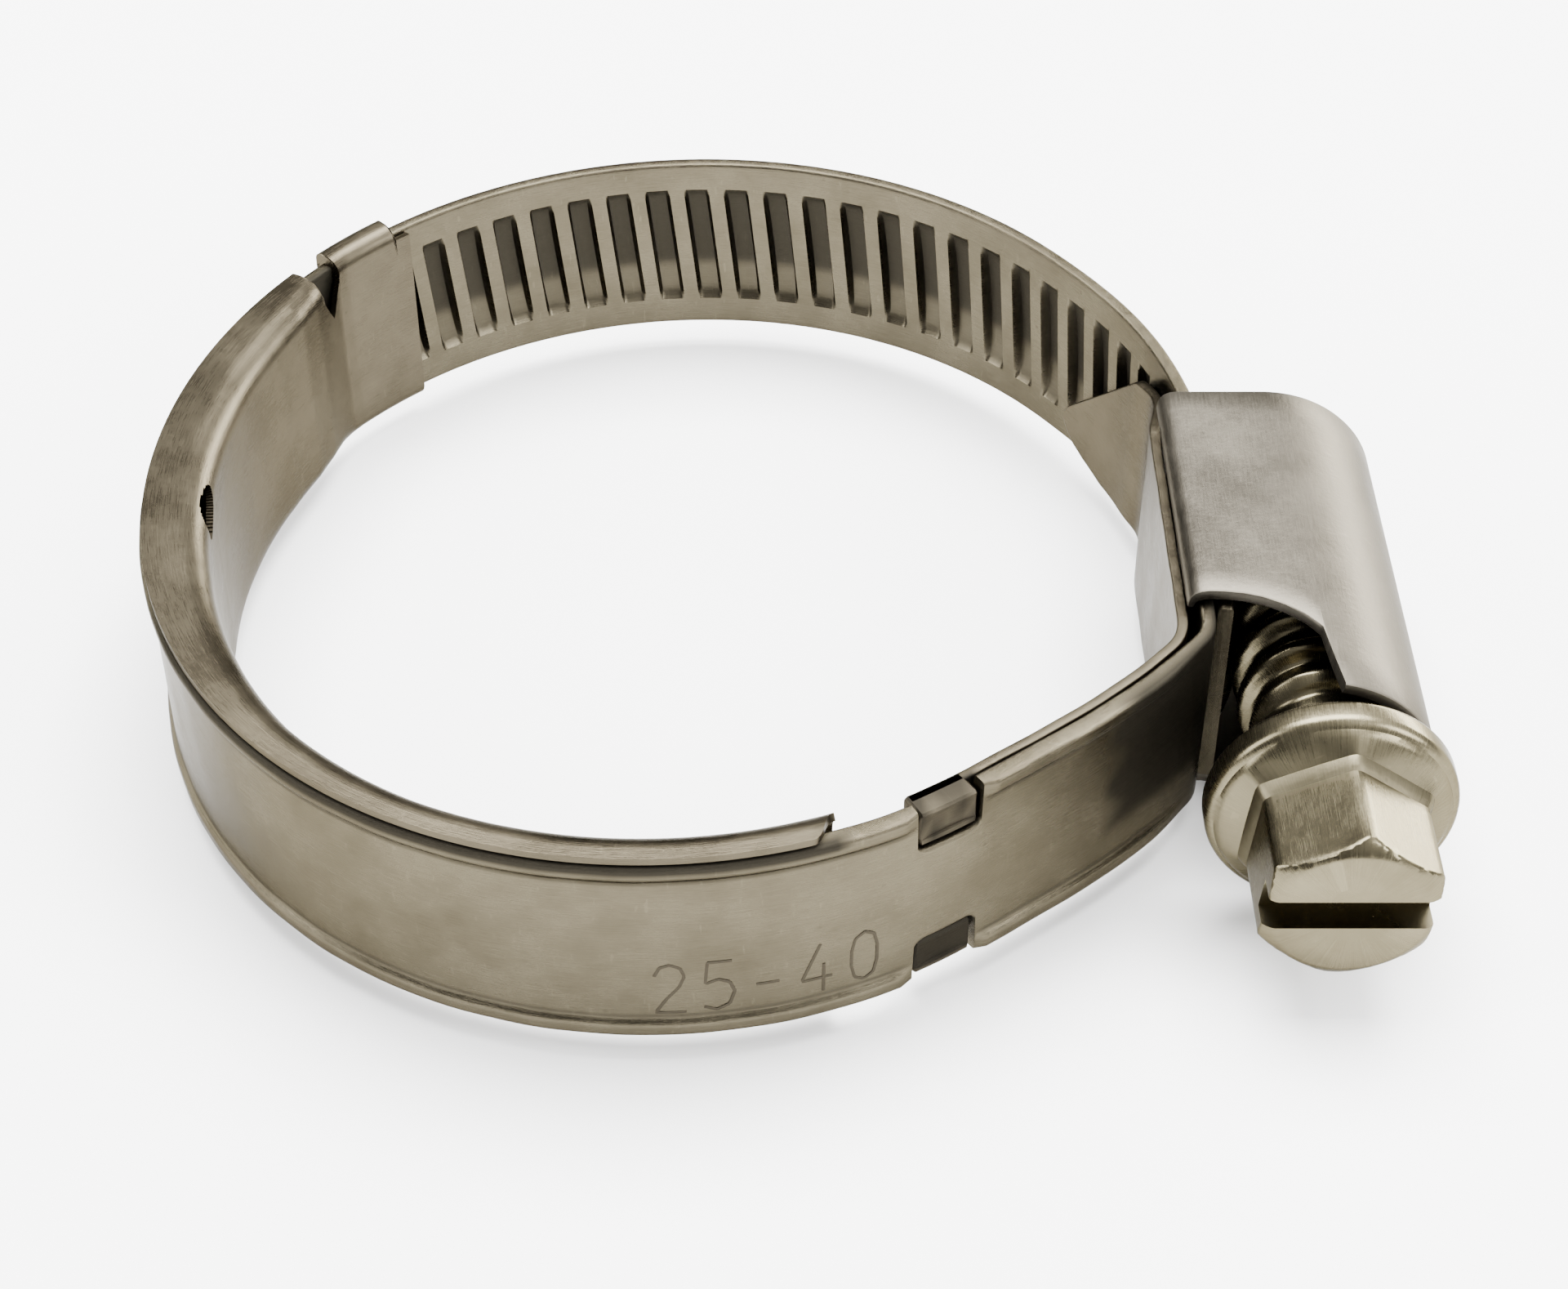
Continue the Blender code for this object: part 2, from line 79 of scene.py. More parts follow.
RIDGE_START_ANGLE = 129 * DEG
RIDGE_END_MARGIN = 1.2
RIDGE_FOOT = 0.64
RIDGE_TOP = 0.3
POCKET_RIM = 0.6
POCKET_FLOOR = 0.42
POCKET_DEPTH = 0.48
SCREW_X = 25.5
THREADED_X = 22.2
PLAIN_X = 21.0
SADDLE_X = 20.05
HOUSING_BACK = 4.0
HOUSING_FRONT = -9.0
TAIL_END = -9.3
PLAIN_FRONT = -9.6
PLAIN_END = 2.0
SADDLE_THICK = 0.45
SADDLE_CLEARANCE = 0.25
JOGGLE = np.array([20.5, 5.2])
TONGUE_TIP_ANGLE = 34.8 * DEG
TONGUE_CLEARANCE = 0.45
TONGUE_LENGTH = 5.7
SADDLE_EDGE = 0.1
SHELL_RADIUS = 5.2
SHELL_THICK = 0.5
SHELL_CENTRE_X = 24.6
SHELL_CROWN_FRONT = -14.3
SHELL_CUT_START = 20.5
SHELL_CUT_LENGTH = 4.9
SHELL_CUT_DEPTH = 2.4
SHELL_CROWN_X = 25.36
SHELL_EDGE = 0.14
THREAD_RADIUS = 2.95
ROOT_RADIUS = 2.3
THREAD_BACK = 1.6
THREAD_FRONT = -12.0
COLLAR_RADIUS = 4.9
COLLAR_BACK = -14.8
COLLAR_FRONT = -16.2
COLLAR_MIDDLE = -15.5
COLLAR_FRONT_ROUND = 0.5
COLLAR_BACK_ROUND = 0.35
PILOT_RADIUS = 1.8
HEX_ACROSS_FLATS = 6.4
HEX_BACK = -17.2
HEX_FRONT = -21.4
HEX_TURN = 5 * DEG
HEX_FILLET = 0.28
CHAMFER_LENGTH = 0.62
CHAMFER_RADIUS = 3.02
SLOT_DEPTH = 1.2
SLOT_HALF_WIDTH = 0.7
LINER_THICK = 0.3
LINER_START_ANGLE = 127 * DEG
LINER_END_ANGLE = 287 * DEG
LINER_CLEARANCE = 0.12
LINER_BEND_RADIUS = 0.95
LINER_EDGE = 0.12
# How far the liner's wall stands inside the band, by angle in degrees: flush at the mouth, then sprung in
LINER_INSETS = (
    (127, 0.96), (137, 0.96), (139, 1.05), (142, 1.4), (145, 1.75), (149, 2.05), (156, 2.25),
    (170, 2.45), (186, 2.6), (200, 2.5), (215, 2.15), (228, 1.75), (245, 1.62), (287, 1.62),
)
TAB_START, TAB_END, FLANGE_START = 129.3, 138.4, 143
TAB_REACH = 1.5
FLANGE_BITE = 1.7
HOLE_ANGLE = 187.5
HOLE_HALF_LENGTH = 1.45
HOLE_HALF_WIDTH = 0.78

MID_Z = BAND_WIDTH / 2
HALF = BAND_THICK / 2
UP = np.array([0.0, 1.0])

joint_at = {j["name"]: Vector(j["pos_m"]) for j in frame["joints"]}
RING_CENTRE = joint_at["screw_turn"] - Vector((SCREW_X, COLLAR_MIDDLE, MID_Z)) * MM


# ---------------------------------------------------------------- plan curves


def ring_radius(angle):
    return RING_RADIUS + RING_OVAL * np.cos(2 * (angle - OVAL_ANGLE))


def ring_point(angle, offset=0.0):
    radius = ring_radius(angle) + offset
    return np.array([radius * math.cos(angle), radius * math.sin(angle)])


HINGE = ring_point(HINGE_ANGLE, -HALF)


def slide_arc(x_at_hinge_line, y):
    """Point of the arc centred on the hinge, along which the tail slides."""
    radius = x_at_hinge_line - HINGE[0]
    return np.array([HINGE[0] + math.sqrt(radius**2 - (y - HINGE[1]) ** 2), y])


def unit(vector):
    return vector / np.linalg.norm(vector)


def heading(angle):
    return np.array([math.cos(angle), math.sin(angle)])


def slide_heading(x_at_hinge_line, y):
    spoke = slide_arc(x_at_hinge_line, y) - HINGE
    return unit(np.array([spoke[1], -spoke[0]]))


def ring_heading(angle):
    """Unit direction along the ring, towards smaller angles."""
    return unit(ring_point(angle - 0.001) - ring_point(angle + 0.001))


def bridge_curve(start, start_heading, end, end_heading, steps=24):
    """Inner points of a smooth curve that leaves start and reaches end along the two headings."""
    reach = 0.38 * np.linalg.norm(end - start)
    handle_a = start + reach * start_heading
    handle_b = end - reach * end_heading
    points = []
    for t in np.linspace(0, 1, steps + 1)[1:-1]:
        s = 1 - t
        points.append(s**3 * start + 3 * s * s * t * handle_a + 3 * s * t * t * handle_b + t**3 * end)
    return points


class Path:
    """A plan curve sampled by its length. Its outward side is set by a sign."""

    def __init__(self, points, sign):
        self.points = np.array(points)
        steps = np.linalg.norm(np.diff(self.points, axis=0), axis=1)
        self.lengths = np.concatenate([[0.0], np.cumsum(steps)])
        self.length = self.lengths[-1]
        self.sign = sign

    def at(self, s):
        return np.array([np.interp(s, self.lengths, self.points[:, i]) for i in (0, 1)])

    def outward(self, s):
        reach = 0.25
        along = unit(self.at(min(s + reach, self.length)) - self.at(max(s - reach, 0.0)))
        return self.sign * np.array([-along[1], along[0]])

    def nearest(self, target):
        fine = np.linspace(0, self.length, 3000)
        return fine[int(np.argmin([np.linalg.norm(self.at(s) - target) for s in fine]))]


def ring_run(start, end):
    count = max(2, round(abs(end - start) / DEG))
    return [ring_point(a, -HALF) for a in np.linspace(start, end, count + 1)]


def threaded_path():
    entry = slide_arc(THREADED_X, HOUSING_BACK)
    ring = ring_run(SPLIT_ANGLE, THREADED_LEAVE_ANGLE)
    run_in = bridge_curve(
        ring[-1], ring_heading(THREADED_LEAVE_ANGLE), entry, slide_heading(THREADED_X, HOUSING_BACK)
    )
    tail = [slide_arc(THREADED_X, y) for y in np.linspace(HOUSING_BACK, TAIL_END, 30)]
    return Path(ring + run_in + tail, 1)


def plain_path():
    ring = ring_run(SPLIT_ANGLE, PLAIN_LEAVE_ANGLE)
    slant = heading(PLAIN_BEND_HEADING)
    run_in = bridge_curve(ring[-1], -ring_heading(PLAIN_LEAVE_ANGLE), PLAIN_BEND, slant)
    entry = np.array([PLAIN_X, PLAIN_FRONT])
    bend = bridge_curve(PLAIN_BEND, slant, entry, UP, 10)
    return Path(ring + run_in + [PLAIN_BEND] + bend + [entry, np.array([PLAIN_X, PLAIN_END])], -1)


def saddle_path(plain, threaded):
    inset = HALF + SADDLE_CLEARANCE + SADDLE_THICK / 2
    start = plain.nearest(ring_point(NOTCH_ANGLE, -HALF)) - NOTCH_LENGTH / 2 + 0.3
    end = plain.nearest(PLAIN_BEND) - 1.0
    front = [plain.at(s) - inset * plain.outward(s) for s in np.linspace(start, end, 40)]
    under_front = np.array([SADDLE_X, HOUSING_FRONT])
    under_back = np.array([SADDLE_X, PLAIN_END])
    bend = bridge_curve(front[-1], unit(front[-1] - front[-2]), under_front, UP, 12)
    tip = threaded.nearest(ring_point(TONGUE_TIP_ANGLE, -HALF))
    spread = HALF + TONGUE_CLEARANCE + SADDLE_THICK / 2
    reach = np.linspace(tip + TONGUE_LENGTH, tip, 24)
    tongue = [threaded.at(s) - spread * threaded.outward(s) for s in reach]
    rise = bridge_curve(under_back, UP, JOGGLE, UP, 12)
    fall = bridge_curve(JOGGLE, UP, tongue[0], unit(tongue[1] - tongue[0]), 10)
    return Path(front + bend + [under_front, under_back] + rise + [JOGGLE] + fall + tongue, -1)


# ---------------------------------------------------------------- mesh building


def smooth(low, high, value):
    """0 before low and 1 after high, with an even start and end. low may be the larger of the two."""
    t = np.clip((value - low) / (high - low), 0, 1)
    return t * t * (3 - 2 * t)


def make_mesh(name, points, faces, flow, material, sharp=35):
    """Mesh object from points in millimetres. Its flow attribute is (along, across, shade)."""
    mesh = bpy.data.meshes.new(name)
    centre = np.array(RING_CENTRE) / MM
    mesh.from_pydata([tuple((np.array(p) + centre) * MM) for p in points], [], faces)
    attribute = mesh.attributes.new("flow", "FLOAT_VECTOR", "POINT")
    attribute.data.foreach_set("vector", np.array(flow, np.float32).ravel())
    shaped = bmesh.new()
    shaped.from_mesh(mesh)
    bmesh.ops.recalc_face_normals(shaped, faces=shaped.faces)
    shaped.to_mesh(mesh)
    shaped.free()
    mesh.update()
    mesh.shade_smooth()
    mesh.set_sharp_from_angle(angle=sharp * DEG)
    mesh.materials.append(material)
    obj = bpy.data.objects.new(name, mesh)
    bpy.context.scene.collection.objects.link(obj)
    return obj


def skin(name, rows, flows, material, sharp=35, in_hole=None):
    """Closed surface through rings of points that all have the same count.

    in_hole(row, column) is for sheets: the quads of the first side that it picks are left out together with
    those straight behind them, and walls join the two rims.
    """
    count = len(rows[0])
    points = [p for row in rows for p in row]
    flow = [f for row in flows for f in row]
    faces = []
    for i in range(len(rows) - 1):
        a, b = i * count, (i + 1) * count
        for j in range(count):
            k = (j + 1) % count
            front = min(j, count - 2 - j)
            if in_hole is None or j == count - 1 or not in_hole(i, front):
                faces.append((a + j, a + k, b + k, b + j))
            elif j == front:
                sides = (
                    ((i - 1, j), (a + j, a + k)),
                    ((i + 1, j), (b + j, b + k)),
                    ((i, j - 1), (a + j, b + j)),
                    ((i, j + 1), (a + k, b + k)),
                )
                for near, corners in sides:
                    if not in_hole(*near):
                        behind = [c - c % count + count - 1 - c % count for c in corners]
                        faces.append((*corners, *reversed(behind)))
    last = (len(rows) - 1) * count
    faces.append(tuple(reversed(range(count))))
    faces.append(tuple(range(last, last + count)))
    return make_mesh(name, points, faces, flow, material, sharp)


def strip_loop(low, high, edge, levels):
    """Section of a strip from z low to high: (side, z) round the loop, side -1 inner to +1 outer."""
    near_edge = (0.0, 0.12, 0.3, 0.42, 0.54, 0.62, 0.7, 0.78, 0.86, 0.94, 1.02)
    edge_zone = 1.15
    reach = min(edge_zone, (high - low) / 2 - edge - 0.01) / edge_zone
    rim = edge + np.array(near_edge) * reach
    inside = np.linspace(low + rim[-1], high - rim[-1], levels)[1:-1]
    faces = np.concatenate([low + rim, inside, (high - rim)[::-1]])
    turn = np.linspace(0, math.pi / 2, 4)[:-1]
    corner = [(1 - (1 - math.sin(t)) * edge / HALF, edge * (1 - math.cos(t))) for t in turn]
    outer = [(side, low + rise) for side, rise in corner] + [(1.0, z) for z in faces]
    outer += [(side, high - rise) for side, rise in reversed(corner)]
    return outer + [(-side, z) for side, z in reversed(outer)]


def sweep_strip(name, path, stations, shape, material, half=HALF):
    """Strip along a path. shape(s) gives its loop and relief(s, side, z) -> (offset, shift, shade)."""
    rows, flows = [], []
    for s in stations:
        loop, relief = shape(s)
        row, flow = [], []
        for side, z in loop:
            lift, shift, shade = relief(s, side, z)
            here = min(max(s + shift, 0.0), path.length)
            x, y = path.at(here) + (side * half + lift) * path.outward(here)
            row.append((x, y, z))
            flow.append((here, z + 20 * side, shade))
        rows.append(row)
        flows.append(flow)
    return skin(name, rows, flows, material)


def lip(z):
    """Height of the rolled lips along the two edges of the band's outer face."""
    from_edge = min(z, BAND_WIDTH - z)
    return LIP_HEIGHT * smooth(LIP_WIDTH + 0.12, LIP_WIDTH - 0.28, from_edge)


def lip_foot(z):
    """1 in the crease where a rolled lip meets the face, falling to 0 beside it."""
    from_edge = min(z, BAND_WIDTH - z)
    return math.exp(-(((from_edge - LIP_WIDTH - 0.14) / 0.09) ** 2))


def make_fixed_length(path, material):
    notch = path.nearest(ring_point(NOTCH_ANGLE, -HALF))
    bend = path.nearest(PLAIN_BEND)
    flange_from = path.nearest(ring_point(196 * DEG, -HALF))
    flange_to = path.nearest(ring_point(LINER_END_ANGLE, -HALF))

    def depth(s):
        """How far the notches cut into the edges."""
        inside = NOTCH_LENGTH / 2 - abs(s - notch)
        if inside <= 0:
            return 0.0
        rounding = max(NOTCH_CORNER - inside, 0.0)
        return NOTCH_DEPTH - NOTCH_CORNER + math.sqrt(NOTCH_CORNER**2 - rounding**2)

    def relief(s, side, z):
        """Rolled lips and slight waves, with painted shade in the lips' creases, a painted shadow along the
        top edge under the liner's flange and a painted reflection of the screw's head near the bend.
        """
        raised = smooth(bend, bend - 3, s) * smooth(0.0, 0.35, abs(s - notch) - NOTCH_LENGTH / 2)
        waves = BAND_WAVE * math.sin(1.7 * s) * math.sin(0.6 * z + 0.31 * s)
        if side > 0:
            # Painted shade in the crease beside each lip
            crease = 0.55 * raised * lip_foot(z)
            # Painted reflection of the screw's head: the band near the bend is darkened towards black
            painted_head_reflection = 0.9 * smooth(bend - 6.0, bend - 4.6 + 0.6 * math.sin(2.3 * z), s) * smooth(1.9, 3.0, z)
            # Painted shadow along the band's top edge under the liner's flange
            beside_flange = smooth(flange_from, flange_from + 6, s)
            beside_flange *= smooth(flange_to + 0.3, flange_to - 0.3, s)
            painted_flange_shadow = 0.9 * smooth(8.5, 8.72, z) * beside_flange
            return lip(z) * raised * side + waves, 0.0, max(crease, painted_head_reflection, painted_flange_shadow)
        return waves, 0.0, 0.0

    def shape(s):
        cut = depth(s)
        return strip_loop(cut, BAND_WIDTH - cut, STRIP_EDGE, 22), relief

    from_end = NOTCH_LENGTH / 2 - np.array([0.56, 0.4, 0.26, 0.13, 0.04, 0.0, -0.02])
    edges = notch + np.array([-1, 1])[:, None] * from_end
    stations = np.concatenate(
        [
            np.linspace(0, notch - 2, 150),
            np.sort(edges.ravel()),
            np.linspace(notch - 0.8, notch + 0.8, 8),
            np.linspace(notch + 1.9, bend - 0.6, 50),
            np.linspace(bend - 0.5, path.length, 50),
        ]
    )
    return sweep_strip("band_fixed_length", path, np.sort(stations), shape, material)


def ridge_centres(path):
    """Where the ridges are along the path, in step with the worm's thread."""
    in_mesh = path.nearest(slide_arc(THREADED_X, THREAD_BACK - PITCH / 2))
    first = path.nearest(ring_point(RIDGE_START_ANGLE, -HALF))
    back = math.floor((in_mesh - first) / PITCH)
    onward = math.floor((path.length - RIDGE_END_MARGIN - in_mesh) / PITCH)
    return [in_mesh + k * PITCH for k in range(-back, onward + 1)]


def make_threaded_length(path, material):
    centres = np.array(ridge_centres(path))
    lean = PITCH / (2 * math.pi * THREAD_RADIUS)
    reach = RIDGE_LENGTH / 2
    first, last = centres[0], centres[-1]
    in_notch = path.nearest(ring_point(140.5 * DEG, -HALF))

    def relief(s, side, z):
        """Leaning ridges on the outside and pockets behind them on the inside, with painted shade in the
        pockets, darker towards their upper end, and a painted shadow on the inner face behind the liner's
        notch.
        """
        away = np.min(np.abs(centres - s))
        level = (z - MID_Z) / reach
        bowl = max(1 - level**2, 0.0) ** (0.7 if side > 0 else 0.35)
        among_ridges = smooth(first - 2.5, first - 0.7, s) * smooth(last + 1.1, last + 0.7, s)
        follow = smooth(1.45, 0.95, abs(level)) * among_ridges
        shift = -lean * follow * (z - MID_Z)
        if side > 0:
            rise = smooth(RIDGE_FOOT, RIDGE_TOP, away) * RIDGE_HEIGHT * bowl
            return rise * side + lip(z) * smooth(8, 3, s) * side, shift, 0.0
        pocket = smooth(POCKET_RIM, POCKET_FLOOR, away)
        # Painted shadow on the inner face behind the liner's notch, near its top
        behind = 0.9 * smooth(1.2, 0.8, abs(s - in_notch)) * smooth(6.2, 6.8, z)
        # Painted shade in the pockets, darker towards their upper end
        shadow = smooth(2.9, 3.6, z) * 0.5 + 0.33
        shade = max(pocket * smooth(0.0, 0.3, bowl) * shadow, behind)
        return pocket * POCKET_DEPTH * bowl * -side, shift, shade

    def shape(s):
        return strip_loop(0.0, BAND_WIDTH, STRIP_EDGE, 30), relief

    half_ridge = (0.15, 0.3, 0.42, 0.48, 0.54, 0.6, 0.64)
    offsets = np.array([-x for x in reversed(half_ridge)] + [0, *half_ridge])
    ridges = (centres[:, None] + offsets[None, :]).ravel()
    stations = np.concatenate(
        [np.linspace(0, first - 0.8, 50), ridges, np.linspace(last + 0.8, path.length, 6)]
    )
    return sweep_strip("band_threaded_strip", path, stations, shape, material)


def make_saddle(path, material):
    """The strip under the housing. Its tongue narrows to a slanted tip at the path's end."""
    top_at, top = (0.0, 0.25, 5.7, 10.2), (2.5, 2.9, 7.9, 8.7)
    bottom_at, bottom = (0.0, 0.3, 0.8, 1.6, 3.3), (2.0, 1.5, 1.05, 0.7, 0.3)

    def shape(s):
        to_tip = path.length - s
        low = np.interp(to_tip, bottom_at, bottom)
        high = np.interp(to_tip, top_at, top)
        # Painted shade on the outer face where it shows through the band's notch
        painted_notch_shade = 0.95 * smooth(3.1, 2.6, s)

        def relief(s, side, z):
            return 0.008 * math.sin(2.1 * s + z), 0.0, painted_notch_shade * (side > 0)

        return strip_loop(low, high, SADDLE_EDGE, 14), relief

    stations = np.concatenate(
        [np.linspace(0, path.length - 2, 150), np.linspace(path.length - 1.95, path.length, 24)]
    )
    return sweep_strip("saddle_strip", path, stations, shape, material, half=SADDLE_THICK / 2)


def make_lug(place, plain, z_low, z_high, outer, material):
    """Lug of the saddle, turned out into a notch of the band. It is dished. Painted shade darkens it as the
    notch's shade: the lower lug all but a strip along its foot, the upper lug less at its ends and
    unevenly, in a swirl, on its outer face.
    """
    middle = plain.nearest(ring_point(NOTCH_ANGLE, -HALF))
    half_length = NOTCH_LENGTH / 2 - 0.14
    inner = -HALF - SADDLE_CLEARANCE - SADDLE_THICK + 0.05
    rows, flows = [], []
    for shift in (-1, -0.97, -0.9, -0.5, 0, 0.5, 0.9, 0.97, 1):
        s = middle + shift * half_length
        pinch = 0.08 * (abs(shift) > 0.95) + 0.05 * (abs(shift) > 0.99)
        centre = (z_low + z_high) / 2
        reach = (z_high - z_low) / 2 - pinch
        crown = outer - pinch
        dish = crown - 0.12 * (1 - shift**2)
        section = (
            (inner, centre - reach),
            (crown - 0.1, centre - reach),
            (crown, centre - reach + 0.1),
            (crown, max(centre - reach + 0.3, 0.38)),
            (dish, max(centre - 0.6 * reach, 0.45)),
            (dish, centre + 0.5 * reach),
            (crown, centre + reach - 0.1),
            (crown - 0.1, centre + reach),
            (inner, centre + reach),
        )
        row, flow = [], []
        for offset, z in section:
            x, y = plain.at(s) + offset * plain.outward(s)
            row.append((x, y, z))
            # Painted shade of the notch on the lug
            if place == "lower":
                shade = 0.93 if z > 0.4 else 0.25
            elif abs(shift) >= 0.93:
                shade = 0.4
            else:
                swirl = 0.62 + 0.28 * math.sin(5 * shift + 2.2 * z)
                shade = swirl if offset > crown - 0.15 else 0.9
            flow.append((s, z, shade))
        rows.append(row)
        flows.append(flow)
    return skin(f"saddle_lug_{place}", rows, flows, material)


def arch_profile(inward, fine):
    """The housing's section in the X-Z plane: foot, flat side, arch, flat side, foot."""
    feet = ((20.25, 0.85), (20.26, 0.6), (20.34, 0.36), (20.5, 0.17), (20.75, 0.05), (21.1, 0.0))
    flat = tuple((x, 0.0) for x in (21.7, 22.4, 23.1, 23.9))
    lower = []
    for i, (x, rise) in enumerate(feet + flat):
        toward = (1.0, 0.0)
        if i < len(feet) - 1:
            toward = unit(np.array(feet[i + 1]) - np.array(feet[max(i - 1, 0)]))
        depth = inward * (0.55 + 0.45 * min(i / 3, 1))
        lower.append((x - toward[1] * depth, MID_Z - SHELL_RADIUS + rise + toward[0] * depth))
    radius = SHELL_RADIUS - inward
    for turn in np.linspace(-math.pi / 2, 0, fine):
        lower.append((SHELL_CENTRE_X + radius * math.cos(turn), MID_Z + radius * math.sin(turn)))
    return lower + [(x, BAND_WIDTH - z) for x, z in reversed(lower[:-1])]


def shell_front(x):
    """Where the housing's front edge is: cut back in a curve on its sides, far forward over the screw."""
    share = min(max((x - SHELL_CUT_START) / SHELL_CUT_LENGTH, 0.0), 1.0)
    side = HOUSING_FRONT - SHELL_CUT_DEPTH * share**3
    return side + (SHELL_CROWN_FRONT - side) * smooth(SHELL_CROWN_X, SHELL_CROWN_X + 0.14, x)


def make_shell(material):
    outer = arch_profile(0.0, 40)
    inner = arch_profile(SHELL_THICK, 40)
    edge, nick = SHELL_EDGE, 0.04
    edge_shade, inside_shade = 0.3, 0.5
    rows, flows = [], []
    along = 0.0
    for i, ((x_out, z_out), (x_in, z_in)) in enumerate(zip(outer, inner)):
        if i:
            along += math.dist(outer[i], outer[i - 1])
        front = shell_front(x_out)
        sheet = np.array([x_in - x_out, z_in - z_out])
        thick = np.linalg.norm(sheet)
        row, flow = [], []

        def add(depth, y, shade=0.0):
            x, z = np.array([x_out, z_out]) + sheet * depth / thick
            row.append((x, y, z))
            flow.append((y, along, shade))

        for y in np.linspace(front + edge, HOUSING_BACK - edge, 12):
            add(0.0, y)
        rim = ((nick, nick), (edge, 0.0), (thick - edge, 0.0), (thick - nick, nick))
        for depth, back in rim:
            add(depth, HOUSING_BACK - back, edge_shade)
        for y in np.linspace(HOUSING_BACK - edge, front + edge, 8):
            add(thick, y, inside_shade)
        for depth, back in reversed(rim):
            add(depth, front + back, edge_shade)
        rows.append(row)
        flows.append(flow)
    return skin("shell_cover", rows, flows, material, sharp=45)


def make_screw(material):
    """Pilot, worm, neck, collar, hexagon with a chamfer, turned on the screw's axis, then slotted."""
    sides = 144
    turns = np.linspace(0, 2 * math.pi, sides, endpoint=False) + math.pi / 2 - HEX_TURN
    quarter = math.pi / 2
    profile = []

    def ring(y, radius, shade=0.0):
        profile.append((y, np.broadcast_to(radius, sides), shade))

    def thread(y):
        crest = THREAD_BACK + PITCH * (math.pi - turns) / (2 * math.pi)
        away = np.abs((y - crest + PITCH / 2) % PITCH - PITCH / 2)
        fade = smooth(THREAD_FRONT - 0.1, THREAD_FRONT + 1.0, y) * smooth(THREAD_BACK + 0.9, THREAD_BACK, y)
        return ROOT_RADIUS + (THREAD_RADIUS - ROOT_RADIUS) * smooth(0.58, 0.18, away) * fade

    def hexagon(across, corner):
        """Radii of a hexagon whose corners are cut by a circle, with a small rounding between them."""
        crispness = 120.0
        to_flat = (turns - quarter + HEX_TURN) % (math.pi / 3) - math.pi / 6
        flat = across / 2 / np.cos(to_flat)
        return (flat**-crispness + corner**-crispness) ** (-1 / crispness)

    # Pilot and worm
    ring(HOUSING_BACK + 0.3, PILOT_RADIUS - 0.45, 0.2)
    ring(HOUSING_BACK + 0.27, PILOT_RADIUS - 0.3, 0.2)
    ring(HOUSING_BACK, PILOT_RADIUS, 0.1)
    ring(THREAD_BACK + 1.0, PILOT_RADIUS, 0.1)
    ring(THREAD_BACK + 0.9, ROOT_RADIUS, 0.3)
    for y in np.arange(THREAD_BACK + 0.85, THREAD_FRONT - 0.2, -0.095):
        ring(y, thread(y))

    # Neck, and the fillet up to the collar
    neck = ROOT_RADIUS + 0.15
    ring(THREAD_FRONT - 0.4, ROOT_RADIUS, 0.5)
    ring(COLLAR_BACK + 0.35, neck - 0.1, 0.7)
    for t in np.linspace(0, quarter, 5):
        ring(COLLAR_BACK + 0.35 * (1 - math.sin(t)), neck + 0.35 * (1 - math.cos(t)), 0.5)

    # Collar, rounded at the back and more at the front
    rim = COLLAR_BACK_ROUND
    for t in np.linspace(0, quarter, 7):
        ring(COLLAR_BACK - rim * (1 - math.cos(t)), COLLAR_RADIUS - rim * (1 - math.sin(t)))
    rim = COLLAR_FRONT_ROUND
    ring(COLLAR_FRONT + rim, COLLAR_RADIUS)
    for t in np.linspace(0, 70 * DEG, 7)[1:]:
        ring(COLLAR_FRONT + rim - rim * math.sin(t), COLLAR_RADIUS - rim * (1 - math.cos(t)))

    # Domed front of the collar, then the fillet round the hexagon's foot
    corner = HEX_ACROSS_FLATS / math.sqrt(3) - 0.06
    face = hexagon(HEX_ACROSS_FLATS, corner)
    start_radius = COLLAR_RADIUS - rim * (1 - math.cos(70 * DEG))
    for t in np.linspace(0, 1, 9)[1:]:
        radius = start_radius + (face + HEX_FILLET - start_radius) * t
        ring(COLLAR_FRONT - 0.02 + 0.62 * (HEX_BACK - COLLAR_FRONT) * t**0.8, radius, 0.15 * t)
    for t in np.linspace(0, quarter, 5)[1:]:
        y = HEX_BACK + HEX_FILLET * 0.9 - HEX_FILLET * 1.6 * math.sin(t)
        ring(y, face + HEX_FILLET * (1 - math.sin(t)), 0.2)

    # Hexagon with its chamfer and end face
    for y in np.linspace(HEX_BACK - 0.5, HEX_FRONT + CHAMFER_LENGTH, 6):
        ring(y, face)
    for t in np.linspace(0, 1, 7)[1:]:
        limit = corner + 0.05 - (corner + 0.05 - CHAMFER_RADIUS) * t**1.6
        across = HEX_ACROSS_FLATS - 0.1 * t**4
        ring(HEX_FRONT + CHAMFER_LENGTH - (CHAMFER_LENGTH - 0.04) * t, hexagon(across, limit))
    for radius in (2.88, 2.2, 1.4, 0.6):
        ring(HEX_FRONT, radius)

    rows, flows = [], []
    for y, radius, shade in profile:
        x, z = SCREW_X + radius * np.cos(turns), MID_Z + radius * np.sin(turns)
        row = np.stack([x, np.full(sides, y), z], 1)
        rows.append([tuple(p) for p in row])
        flows.append([(y, 3.5 * t, shade) for t in turns])
    screw = skin("hex_screw", rows, flows, material)
    cut(screw, box_cutter((SCREW_X, HEX_FRONT, MID_Z), (HEX_ACROSS_FLATS, SLOT_DEPTH, SLOT_HALF_WIDTH)))
    screw.data.set_sharp_from_angle(angle=26 * DEG)
    sharp = screw.data.attributes["sharp_edge"]
    worm_front = RING_CENTRE.y + (COLLAR_BACK + 0.3) * MM
    for edge in screw.data.edges:
        if all(screw.data.vertices[v].co.y > worm_front for v in edge.vertices):
            sharp.data[edge.index].value = False
    return screw


def box_cutter(centre, half_size):
    corners = [(x, y, z) for x in (-1, 1) for y in (-1, 1) for z in (-1, 1)]
    points = [tuple(np.array(centre) + np.array(c) * half_size) for c in corners]
    faces = [(0, 1, 3, 2), (4, 6, 7, 5), (0, 4, 5, 1), (2, 3, 7, 6), (0, 2, 6, 4), (1, 5, 7, 3)]
    return make_mesh("cutter", points, faces, [(0, 0, 0.0)] * 8, bpy.data.materials[0])


